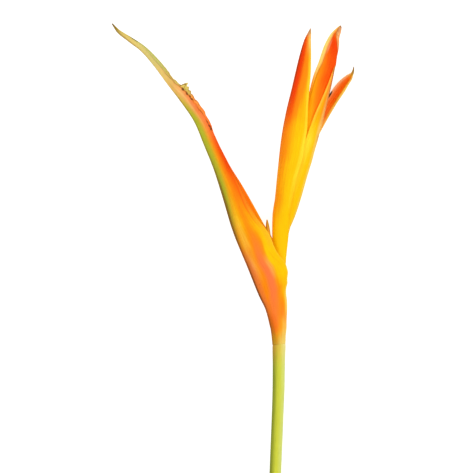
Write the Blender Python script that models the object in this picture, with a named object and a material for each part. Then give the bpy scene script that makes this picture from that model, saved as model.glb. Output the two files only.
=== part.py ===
"""A cut heliconia flower, laid on a table.

One flower head with its stem: the peduncle, five boat-shaped bracts set left
and right in turn along its zigzag axis, and three slim flowers in the mouth of
the lowest bract.

The tables are in millimetres, measured from the neck, the point where the
lowest bract leaves the stem. +Y runs from the cut end to the tips, +X is the
side of bracts two and four, and +Z is up from the table. The finished meshes
are in metres, with the origin at the middle of the footprint, on the table.
"""
import math

import bpy
import numpy as np

MM = 0.001

# Driving dimensions
STEM_RADIUS = 2.85
STEM_LENGTH = 140.0
WALL = 0.65
TIP_POINT = 0.8
NECK_HEIGHT = 6.3
STEM_RISE = (NECK_HEIGHT - STEM_RADIUS) / STEM_LENGTH
HEAD_RISE = 0.045
HEAD_DROOP = 0.00006
CUT_SLANT = 1.2

# How finely the solids are divided
SECTION_STEP = 4.0
BRACT_SIDES = 10
STEM_STEP = 7.0
STEM_SIDES = 14
FLOWER_STEP = 4.0
FLOWER_SIDES = 9

# A section closes into a solid tip where its half width falls between these
SOLID_BELOW = 0.9
OPEN_ABOVE = 1.7
TIP_CAVITY = 0.05
TIP_SLOT = 0.35
KEEL_ROOM = 0.1
SHARP_ANGLE = 50

LEFT = 1.0
RIGHT = -1.0

# Each bract is a folded channel. keel is the fold line on its back, as X, Y
# and Z, with Z counted from the table or from the middle of the head, as
# level says. The lists after it pair a keel point's Y with a value there:
# depth   from the keel to the two rims
# gape    half the width of the channel
# wrap    how far round each half curls, in degrees: 90 is half an ellipse,
#         and 150 nearly closes round what the bract clasps
# roll    how far the mouth is turned up from level, in degrees
# far     how much further the lower half curls than the upper one
BRACTS = {
    "bract_1": {
        "side": LEFT,
        "level": "table",
        "keel": [
            (-3.1, 0.0, 6.3), (-4.2, 10.0, 6.8), (-6.3, 18.0, 7.1), (-9.9, 25.5, 7.3),
            (-15.6, 40.0, 7.7), (-23.0, 57.2, 7.8), (-30.2, 80.6, 7.2), (-34.3, 92.6, 6.4),
            (-39.5, 105.0, 5.2), (-44.3, 116.0, 4.0), (-51.7, 127.2, 2.7),
            (-58.7, 136.4, 1.5), (-65.6, 145.8, 0.6), (-72.5, 153.6, 0.2),
            (-78.8, 158.4, 0.3), (-85.0, 163.4, 0.9), (-87.6, 167.4, 1.5),
        ],
        "depth": [
            (0, 0.6), (4, 2.4), (9, 5.6), (17, 10.8), (25, 15.0), (32, 17.9), (40, 17.2),
            (49, 17.1), (57, 16.0), (65, 14.6), (80, 10.9), (92, 7.8), (105, 6.6),
            (116, 6.5), (127, 5.5), (136, 4.9), (146, 3.7), (154, 2.9), (159, 2.1),
            (164, 1.3), (167.4, 0.5),
        ],
        "gape": [
            (0, 3.15), (9, 3.4), (17, 3.7), (25, 4.6), (32, 5.2), (42, 5.7), (57, 5.8),
            (75, 5.0), (92, 3.8), (105, 2.9), (116, 2.4), (127, 2.0), (136, 1.7),
            (146, 1.35), (154, 1.05), (160, 0.75), (167.4, 0.3),
        ],
        "wrap": [
            (0, 35), (4, 75), (9, 120), (17, 150), (25, 150), (32, 130), (40, 108),
            (50, 98), (80, 92), (105, 88), (130, 84), (167.4, 80),
        ],
        "roll": [(0, 0), (80, 0), (105, 6), (122, 18), (136, 32), (154, 32), (167.4, 25)],
        "far": [
            (0, 1.0), (110, 1.0), (119, 1.06), (123, 1.16), (126, 1.1), (129, 1.3),
            (132.5, 1.06), (138, 1.0), (167.4, 1.0),
        ],
    },
    "bract_2": {
        "side": RIGHT,
        "level": "table",
        "keel": [
            (1.75, 30.0, 5.1), (1.65, 36.0, 4.6), (1.5, 41.0, 3.9), (1.5, 46.0, 3.4),
            (2.0, 56.0, 2.9), (3.6, 66.0, 2.3), (6.0, 76.0, 1.6), (9.5, 88.0, 1.1),
            (13.4, 100.0, 0.8),
            (17.6, 110.0, 0.6), (22.6, 118.6, 0.4), (28.3, 127.6, 0.15),
            (33.4, 135.0, 0.05), (37.4, 140.8, 0.6), (39.0, 145.0, 1.7),
        ],
        "depth": [
            (30, 1.8), (36, 2.6), (41, 1.6), (46, 1.4), (56, 1.6), (66, 2.3), (76, 2.8),
            (88, 3.3), (100, 3.6), (110, 3.6), (119, 3.4), (128, 3.0), (135, 2.3),
            (141, 1.2), (145, 0.4),
        ],
        "gape": [
            (30, 2.8), (36, 2.8), (41, 2.6), (56, 2.6), (66, 2.9), (76, 3.3), (88, 3.5),
            (100, 3.2), (110, 2.9), (119, 2.8), (128, 2.6), (135, 2.1), (141, 1.2),
            (145, 0.3),
        ],
        "wrap": [(30, 68), (36, 88), (145, 88)],
        "roll": [(30, 60), (36, 76), (41, 88), (110, 90), (128, 84), (145, 80)],
        "far": [(30, 1.0), (145, 1.0)],
    },
    "bract_3": {
        "side": LEFT,
        "level": "head",
        "keel": [
            (-2.3, 41.0, 0), (-2.9, 46.0, 0), (-3.4, 51.0, 0), (-3.8, 58.8, 0),
            (-3.5, 67.6, 0), (-2.4, 76.0, 0), (-1.2, 88.4, 0), (0.3, 101.4, 0),
            (1.7, 111.8, 0), (3.7, 122.2, 0), (6.1, 132.0, 0), (8.5, 142.0, 0),
            (10.7, 150.3, 0), (13.1, 158.1, 0), (15.8, 164.3, 0),
        ],
        "depth": [
            (41, 1.4), (46, 4.9), (51, 7.2), (58.8, 8.7), (62, 8.6), (67.6, 8.3),
            (75, 8.6), (88, 10.1), (101, 12.0), (112, 12.2), (122, 10.9), (132, 9.2),
            (142, 7.6), (150, 5.7), (158, 3.5), (162, 1.8), (164.3, 0.5),
        ],
        "gape": [
            (41, 2.75), (46, 2.9), (51, 3.15), (58.8, 3.6), (62, 3.85), (68, 4.2),
            (75, 4.5), (88, 4.6), (101, 4.5), (112, 4.1), (122, 3.6), (132, 3.0),
            (142, 2.3), (150, 1.7), (158, 1.05), (162, 0.7), (164.3, 0.3),
        ],
        "wrap": [
            (41, 60), (46, 130), (51, 150), (58.8, 145), (62, 132), (67.6, 112),
            (75, 100), (101, 92), (164.3, 86),
        ],
        "roll": [(41, 0), (164.3, 0)],
        "far": [(41, 1.0), (164.3, 1.0)],
    },
    "bract_4": {
        "side": RIGHT,
        "level": "head",
        "keel": [
            (3.6, 57.0, 0), (5.5, 62.0, 0), (7.4, 67.6, 0), (10.2, 75.4, 0),
            (14.3, 88.4, 0), (17.5, 101.4, 0), (20.6, 111.0, 0), (22.7, 118.0, 0),
            (24.7, 125.8, 0.3), (26.2, 132.0, 0.8), (27.9, 139.5, 1.8), (28.9, 144.6, 2.7),
        ],
        "depth": [
            (57, 1.2), (60, 3.2), (62, 4.0), (67.6, 5.3), (75, 6.3), (88, 6.0),
            (101, 5.4), (110, 5.6), (118, 5.2), (126, 3.7), (130, 2.9), (135, 2.0),
            (140, 1.2), (144.6, 0.4),
        ],
        "gape": [
            (57, 2.3), (60, 2.45), (62, 2.6), (68, 3.1), (75, 3.4), (88, 3.5),
            (101, 3.4), (110, 3.2), (118, 2.9), (126, 2.4), (130, 2.0), (135, 1.4),
            (140, 0.9), (144.6, 0.3),
        ],
        "wrap": [(57, 60), (60, 110), (62, 120), (67.6, 110), (75, 100), (88, 95), (144.6, 88)],
        "roll": [(57, 0), (144.6, 0)],
        "far": [(57, 1.0), (112, 1.0), (130, 0.4), (144.6, 0.3)],
    },
    "bract_5": {
        "side": LEFT,
        "level": "head",
        "keel": [
            (-0.1, 66.5, 0), (0.2, 71.0, 0), (1.5, 76.0, 0), (5.2, 88.0, 0), (8.4, 101.0, 0),
            (11.0, 112.0, 0), (13.4, 122.0, 0), (16.1, 131.6, 0), (18.5, 139.9, 0),
            (22.0, 147.2, 0), (25.0, 155.0, 0), (27.8, 160.7, 0), (32.0, 165.9, 0),
        ],
        "depth": [
            (66.5, 0.9), (70, 3.3), (76, 4.6), (88, 5.8), (101, 6.5), (112, 6.8),
            (122, 7.2), (131.6, 7.6), (139.9, 8.2), (143.5, 8.4), (147.2, 7.9),
            (151.3, 6.6), (155, 6.0), (158, 5.0), (160.7, 3.8), (163.3, 2.0), (165.9, 0.4),
        ],
        "gape": [
            (66.5, 1.9), (76, 2.1), (88, 2.2), (112, 2.0), (131.6, 2.1), (139.9, 2.1),
            (147.2, 1.9), (155, 1.5), (160, 1.1), (163, 0.8), (165.9, 0.3),
        ],
        "wrap": [
            (66.5, 60), (70, 130), (76, 150), (88, 155), (131.6, 155), (139.9, 150),
            (147.2, 130), (155, 100), (160, 92), (165.9, 85),
        ],
        "roll": [(66.5, 0), (165.9, 0)],
        "far": [(66.5, 1.0), (147, 1.0), (155, 1.12), (165.9, 1.0)],
    },
}

# The stem and the axis inside the head, as X, Y and the radius there
AXIS = [
    (-5.4, -STEM_LENGTH, STEM_RADIUS), (-3.7, -105.0, STEM_RADIUS),
    (-2.3, -66.0, STEM_RADIUS), (-1.1, -35.0, STEM_RADIUS), (-0.3, -12.0, STEM_RADIUS),
    (0.0, -4.0, STEM_RADIUS), (0.4, 0.0, 2.4), (0.6, 4.0, 2.25), (0.9, 9.5, 2.1),
    (0.8, 18.0, 2.1), (0.3, 30.0, 1.8), (0.3, 40.0, 1.75), (0.7, 50.0, 1.45),
    (1.4, 58.0, 1.25), (1.7, 65.0, 0.95), (1.8, 69.0, 0.75),
]

# Each flower as the X, Y, Z and radius of points from its stalk to its tip
FLOWERS = {
    "flower_1": [
        (-2.6, 26.5, 8.1, 0.8), (-4.0, 33.0, 8.1, 1.2), (-5.6, 42.0, 8.1, 1.9),
        (-6.5, 52.0, 8.2, 1.8), (-6.5, 60.0, 8.4, 1.2), (-6.2, 65.6, 8.5, 0.4),
    ],
    "flower_2": [
        (-1.9, 18.6, 8.3, 0.7), (-5.6, 28.0, 8.8, 1.1), (-9.2, 38.0, 9.1, 1.7),
        (-11.2, 48.0, 9.2, 1.7), (-12.1, 56.0, 9.1, 1.2), (-12.6, 62.0, 9.0, 0.4),
    ],
    "flower_3": [
        (-2.1, 20.0, 6.4, 0.7), (-6.9, 31.0, 5.9, 1.0), (-11.4, 41.0, 6.0, 1.4),
        (-14.4, 50.0, 6.2, 1.4), (-16.0, 57.0, 6.4, 1.0), (-16.9, 62.0, 6.6, 0.4),
    ],
}

# Colour as linear red, green and blue, and roughness
FINISHES = {
    "peduncle": ((0.33, 0.48, 0.06), 0.45),
    "bract_1": ((0.93, 0.30, 0.04), 0.4),
    "bract_2": ((0.90, 0.12, 0.02), 0.4),
    "bract_3": ((0.95, 0.30, 0.02), 0.4),
    "bract_4": ((0.95, 0.42, 0.02), 0.4),
    "bract_5": ((0.94, 0.25, 0.02), 0.4),
    "flower": ((0.55, 0.25, 0.05), 0.5),
}


def clear_scene():
    """Remove whatever the scene holds before the flower is built."""
    for item in list(bpy.data.objects):
        bpy.data.objects.remove(item, do_unlink=True)


def material(name, colour, roughness):
    """A Principled material of one colour."""
    made = bpy.data.materials.new(name)
    made.use_nodes = True
    shader = made.node_tree.nodes["Principled BSDF"]
    shader.inputs["Base Color"].default_value = (*colour, 1.0)
    shader.inputs["Roughness"].default_value = roughness
    shader.inputs["Metallic"].default_value = 0.0
    return made


def graph(pairs, at):
    """Read a smooth graph through (position, value) pairs that never overshoots."""
    x, y = np.array(pairs, float).T
    step = np.diff(x)
    slope = np.diff(y) / step
    tangent = np.zeros(len(x))
    tangent[0] = slope[0]
    tangent[-1] = slope[-1]
    same_way = slope[:-1] * slope[1:] > 0
    mean = np.zeros(len(x) - 2)
    weight_a = 2 * step[1:] + step[:-1]
    weight_b = step[1:] + 2 * step[:-1]
    inner = same_way.nonzero()[0]
    mean[inner] = (weight_a + weight_b)[inner] / (
        weight_a[inner] / slope[:-1][inner] + weight_b[inner] / slope[1:][inner]
    )
    tangent[1:-1] = mean
    at = np.clip(at, x[0], x[-1])
    span = np.clip(np.searchsorted(x, at, side="right") - 1, 0, len(x) - 2)
    t = (at - x[span]) / step[span]
    return (
        (1 + 2 * t) * (1 - t) ** 2 * y[span]
        + t * (1 - t) ** 2 * step[span] * tangent[span]
        + t * t * (3 - 2 * t) * y[span + 1]
        + t * t * (t - 1) * step[span] * tangent[span + 1]
    )


def path(points, step):
    """Points a step apart along a smooth curve through the given rows."""
    rows = np.array(points, float)
    lengths = np.linalg.norm(np.diff(rows[:, :3], axis=0), axis=1)
    along = np.concatenate([[0.0], np.cumsum(lengths)])
    count = int(round(along[-1] / step)) + 1
    at = np.linspace(0.0, along[-1], count)
    return np.stack([graph(np.stack([along, column], 1), at) for column in rows.T], 1)


def axis_height(y):
    """Height of the middle of the stem or head above the table."""
    head = NECK_HEIGHT + HEAD_RISE * y - HEAD_DROOP * y * y
    stem = NECK_HEIGHT + STEM_RISE * y
    return np.where(y > 0, head, stem)


def directions(points):
    """Unit tangents of a row of points."""
    tangent = np.gradient(points, axis=0)
    return tangent / np.linalg.norm(tangent, axis=1)[:, None]


def add_object(name, vertices, faces, finish):
    """One closed mesh, in metres, with its faces outward and shaded smooth."""
    mesh = bpy.data.meshes.new(name)
    mesh.from_pydata((np.asarray(vertices) * MM).tolist(), [], faces)
    corners = np.asarray(vertices)[np.array([f[:3] for f in faces])]
    volume = np.einsum("ij,ij->i", corners[:, 0], np.cross(corners[:, 1], corners[:, 2])).sum()
    if volume < 0:
        mesh.flip_normals()
    mesh.materials.append(finish)
    mesh.shade_smooth()
    mesh.set_sharp_from_angle(angle=math.radians(SHARP_ANGLE))
    made = bpy.data.objects.new(name, mesh)
    bpy.context.scene.collection.objects.link(made)
    return made


def strip(ring_a, ring_b, flip=False):
    """Triangles between two rows of vertex numbers, all cut along one diagonal."""
    faces = []
    for k in range(len(ring_a) - 1):
        a, b, c, d = ring_a[k], ring_a[k + 1], ring_b[k + 1], ring_b[k]
        if flip:
            faces += [(a, c, b), (a, d, c)]
        else:
            faces += [(a, b, c), (a, c, d)]
    return faces


def bract_surface(shape, points, inset):
    """The section of a bract at each point of its keel, inset from the outside.

    A section is part of an ellipse: depth = a - (a - inset) cos(angle) and
    width = (gape - inset) sin(angle), where a is the rim depth over
    1 - cos(wrap). The angle runs from the far rim, below, through the keel to
    the near rim, above.
    """
    y = points[:, 1]
    depth = graph(shape["depth"], y)[:, None]
    gape = graph(shape["gape"], y)[:, None]
    wrap = np.radians(graph(shape["wrap"], y))[:, None]
    roll = np.radians(graph(shape["roll"], y))[:, None]
    far = graph(shape["far"], y)[:, None]
    half = depth / (1 - np.cos(wrap))

    across = np.linspace(-1, 1, BRACT_SIDES + 1)[None, :]
    angle = across * wrap * np.where(across < 0, far, 1.0)
    width = gape * np.sin(angle)
    deep = half * (1 - np.cos(angle))
    if inset > 0:
        openness = np.clip((gape - SOLID_BELOW) / (OPEN_ABOVE - SOLID_BELOW), TIP_CAVITY, 1)
        narrow = np.maximum(gape - inset, TIP_SLOT * gape)
        width = narrow * np.sin(angle)
        floor = half - np.maximum(half - inset, KEEL_ROOM * half) * np.cos(angle)
        edge = half * (1 - np.cos(wrap * np.where(across < 0, far, 1.0)))
        deep = edge - (edge - floor) * openness

    tangent = directions(points)
    level = shape["side"] * np.stack([tangent[:, 1], -tangent[:, 0], 0 * y], 1)
    level /= np.linalg.norm(level, axis=1)[:, None]
    up = np.array([0.0, 0.0, 1.0])
    mouth = np.cos(roll) * level + np.sin(roll) * up
    normal = -np.sin(roll) * level + np.cos(roll) * up
    return points[:, None, :] + deep[..., None] * mouth[:, None, :] + width[..., None] * normal[:, None, :]


def make_bract(name, shape):
    """A folded channel with a wall, clasping at its base and solid at its tip."""
    points = path(shape["keel"], SECTION_STEP)
    if shape["level"] == "head":
        points[:, 2] += axis_height(points[:, 1])
    outside = bract_surface(shape, points, 0.0)
    inside = bract_surface(shape, points, WALL)
    rows, columns = outside.shape[:2]
    tip = 0.25 * (outside[-1, 0] + outside[-1, -1] + 2 * outside[-1, columns // 2])
    tip = tip + directions(points)[-1] * TIP_POINT
    vertices = np.concatenate([outside.reshape(-1, 3), inside.reshape(-1, 3), [tip]])
    outer = np.arange(rows * columns).reshape(rows, columns)
    inner = outer + rows * columns
    apex = 2 * rows * columns

    faces = []
    for k in range(rows - 1):
        faces += strip(outer[k], outer[k + 1])
        faces += strip(inner[k], inner[k + 1], flip=True)
    faces += strip(outer[:, 0], inner[:, 0])
    faces += strip(outer[:, -1], inner[:, -1], flip=True)
    faces += strip(outer[0], inner[0], flip=True)
    last = np.concatenate([outer[-1], inner[-1][::-1]])
    faces += [(int(a), int(b), apex) for a, b in zip(last, np.roll(last, -1))]
    return add_object(name, vertices, [tuple(int(i) for i in f) for f in faces], FINISH[name])


def make_tube(name, points, radii, sides, finish, slant=0.0):
    """A round solid along a path, closed by a flat cut end and a domed tip."""
    tangent = directions(points)
    side = np.cross(tangent, [0.0, 0.0, 1.0])
    side /= np.linalg.norm(side, axis=1)[:, None]
    over = np.cross(side, tangent)
    angle = np.linspace(0, 2 * math.pi, sides, endpoint=False)
    ring = (
        np.cos(angle)[None, :, None] * side[:, None, :]
        + np.sin(angle)[None, :, None] * over[:, None, :]
    )
    rings = points[:, None, :] + radii[:, None, None] * ring
    rings[0] += slant * np.cos(angle)[:, None] * tangent[0]
    top = points[-1] + tangent[-1] * radii[-1]
    vertices = np.concatenate([rings.reshape(-1, 3), [points[0]], [top]])
    number = np.arange(len(points) * sides).reshape(len(points), sides)
    number = np.concatenate([number, number[:, :1]], 1)
    base = len(points) * sides
    faces = []
    for k in range(len(points) - 1):
        faces += strip(number[k], number[k + 1])
    faces += [(a, base, b) for a, b in zip(number[0][:-1], number[0][1:])]
    faces += [(a, b, base + 1) for a, b in zip(number[-1][:-1], number[-1][1:])]
    return add_object(name, vertices, [tuple(int(i) for i in f) for f in faces], finish)


def make_peduncle():
    """The stem, drawn in at the neck to leave room for the bract that clasps it."""
    rows = path([(x, y, axis_height(y), radius) for x, y, radius in AXIS], STEM_STEP / 2)
    keep = np.ones(len(rows), bool)
    keep[1::2] = rows[1::2, 1] > -2 * STEM_STEP
    rows = rows[keep]
    return make_tube("peduncle", rows[:, :3], rows[:, 3], STEM_SIDES, FINISH["peduncle"], CUT_SLANT)


def make_flower(name, rows):
    """A slim tube of grown-together petals, on its short stalk."""
    rows = path(rows, FLOWER_STEP)
    return make_tube(name, rows[:, :3], rows[:, 3], FLOWER_SIDES, FINISH["flower"])


def settle(objects):
    """Move every mesh so that the footprint's middle is the origin, on the table."""
    corners = np.concatenate([[v.co for v in item.data.vertices] for item in objects])
    low = corners.min(axis=0)
    high = corners.max(axis=0)
    shift = np.array([(low[0] + high[0]) / 2, (low[1] + high[1]) / 2, low[2]])
    for item in objects:
        for vertex in item.data.vertices:
            vertex.co = [value - move for value, move in zip(vertex.co, shift)]


clear_scene()
FINISH = {name: material(name, *finish) for name, finish in FINISHES.items()}
pieces = [make_peduncle()]
pieces += [make_bract(name, shape) for name, shape in BRACTS.items()]
pieces += [make_flower(name, rows) for name, rows in FLOWERS.items()]
settle(pieces)
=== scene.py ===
# %% [markdown]
# # A cut heliconia flower, laid on a pale table
#
# One flower head of a small parrot heliconia with its stem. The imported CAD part
# gives the frame and the size. This script puts the real skin over it: waxy
# folded bracts that go from gold to red, a ridged green stem, and the slim true
# flowers in the mouth of the lowest bract.
#
# Everything is built from the same measured curves as the CAD part, in
# millimetres from the neck, where the lowest bract leaves the stem. +Y runs to
# the tips and +Z is up from the table.

# %% Load the frame
import math

import bpy
import numpy as np
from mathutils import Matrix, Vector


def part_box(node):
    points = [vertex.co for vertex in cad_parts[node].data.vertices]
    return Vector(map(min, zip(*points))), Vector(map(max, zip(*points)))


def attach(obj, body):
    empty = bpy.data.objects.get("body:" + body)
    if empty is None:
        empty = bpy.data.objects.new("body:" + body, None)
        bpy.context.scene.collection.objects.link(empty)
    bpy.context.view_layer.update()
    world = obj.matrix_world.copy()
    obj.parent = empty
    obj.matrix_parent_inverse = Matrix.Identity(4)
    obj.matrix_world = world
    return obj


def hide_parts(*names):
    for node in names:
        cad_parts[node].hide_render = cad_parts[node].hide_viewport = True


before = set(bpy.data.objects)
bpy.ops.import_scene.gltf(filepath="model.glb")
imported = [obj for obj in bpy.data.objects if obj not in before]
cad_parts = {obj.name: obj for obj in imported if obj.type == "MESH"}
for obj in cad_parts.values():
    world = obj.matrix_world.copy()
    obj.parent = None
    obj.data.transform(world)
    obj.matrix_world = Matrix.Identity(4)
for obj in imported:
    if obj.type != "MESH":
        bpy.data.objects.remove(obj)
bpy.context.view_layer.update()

MM = 0.001
scene = bpy.context.scene
# From the lowest X and Y of the stem, at its cut end, to the neck
CUT_TO_NECK = (8.25, 141.2)
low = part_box("peduncle")[0]
NECK = np.array([low[0] / MM + CUT_TO_NECK[0], low[1] / MM + CUT_TO_NECK[1], 0.0])

# %% [markdown]
# ## Curves
#
# A bract changes slowly along its length, so every measure of it is a short
# list of values read off the photograph, joined by a smooth curve that never
# swings past its points. The same curves and tables serve shapes and pigments.


# %% Curves, noise and tables
ALL = 3.0
LATTICE = 97
# Middle of the axis at the neck, and how far the stem falls to its cut end
NECK_HEIGHT, STEM_FALL, STEM_LENGTH = 6.3, 3.45, 140.0


def graph(pairs, at):
    """Read a smooth curve through (position, value) pairs.

    Between two points it is the cubic with a given slope at both. The slope at
    a point is the harmonic mean of the two straight slopes beside it, and zero
    where they differ in sign, so that the curve never overshoots.
    """
    x, y = np.array(pairs, float).T
    step = np.diff(x)
    slope = np.diff(y) / step
    tangent = np.concatenate([slope[:1], np.zeros(len(x) - 2), slope[-1:]])
    inner = (slope[:-1] * slope[1:] > 0).nonzero()[0]
    weight_a = (2 * step[1:] + step[:-1])[inner]
    weight_b = (step[1:] + 2 * step[:-1])[inner]
    tangent[inner + 1] = (weight_a + weight_b) / (
        weight_a / slope[:-1][inner] + weight_b / slope[1:][inner]
    )
    at = np.clip(at, x[0], x[-1])
    span = np.clip(np.searchsorted(x, at, side="right") - 1, 0, len(x) - 2)
    t = (at - x[span]) / step[span]
    return (
        (1 + 2 * t) * (1 - t) ** 2 * y[span]
        + t * (1 - t) ** 2 * step[span] * tangent[span]
        + t * t * (3 - 2 * t) * y[span + 1]
        + t * t * (t - 1) * step[span] * tangent[span + 1]
    )


def path(points, step):
    """Rows a step apart along a smooth curve through the given rows.

    The curve's parameter is the length of the straight pieces between the
    rows, and each column is read off as a graph of it.
    """
    rows = np.array(points, float)
    lengths = np.linalg.norm(np.diff(rows[:, :3], axis=0), axis=1)
    along = np.concatenate([[0.0], np.cumsum(lengths)])
    at = np.linspace(0.0, along[-1], int(round(along[-1] / step)) + 1)
    return np.stack([graph(np.stack([along, column], 1), at) for column in rows.T], 1)


def unit(vectors):
    """Vectors divided by their own length."""
    return vectors / np.linalg.norm(vectors, axis=-1, keepdims=True)


def noise(x, y, seed):
    """Smooth random hills between -1 and 1, about one unit apart.

    Random heights on a square lattice are joined by the easing t t (3 - 2 t).
    """
    lattice = np.random.default_rng(seed).uniform(-1, 1, (LATTICE, LATTICE))
    x, y = np.broadcast_arrays(x, y)
    i, j = np.floor(x).astype(int), np.floor(y).astype(int)
    u, v = x - i, y - j
    u, v = u * u * (3 - 2 * u), v * v * (3 - 2 * v)
    i, j, next_i, next_j = (k % LATTICE for k in (i, j, i + 1, j + 1))
    near = lattice[i, j] * (1 - u) + lattice[next_i, j] * u
    far = lattice[i, next_j] * (1 - u) + lattice[next_i, next_j] * u
    return near * (1 - v) + far * v


def axis_height(y):
    """Height of the middle of the head or stem, which climbs off the table to the neck.

    The stem rises evenly. The head goes on as neck height + 0.045 y - 0.00006 y y.
    """
    head = NECK_HEIGHT + 0.045 * y - 0.00006 * y * y
    return np.where(y > 0, head, NECK_HEIGHT + STEM_FALL / STEM_LENGTH * y)


def read_tables(text, words):
    """Read a table that is written as text: a list of its lines as (*name, rows).

    A line starts with its name, of so many words, and then come rows of numbers
    with a bar between them. A line that ends with a bar goes on in the next one.
    """
    tables = []
    for line in text.replace("ALL", str(ALL)).replace("|\n", "|").strip().split("\n"):
        *name, rest = line.split(None, words)
        rows = [tuple(float(value) for value in row.split()) for row in rest.split("|")]
        tables.append((*name, rows))
    return tables


print("axis height at the cut and at the neck", axis_height(np.array([-STEM_LENGTH, 0.0])), "mm")

# %% [markdown]
# ## The bracts' measures
#
# A bract is a leaf folded along its keel into a boat. On the real plant it
# clasps the axis at its base and opens towards its tip. Each list pairs a
# distance along the head with a value: how deep the fold is, half its width
# ("gape"), how far round each half curls in degrees ("wrap"), how far the mouth
# is turned up ("roll"), and the share of the curl that the far and the near half
# have. The keel's rows are x, y and height: off the table, or for bracts of the
# upright bundle off the axis of the head.

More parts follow.
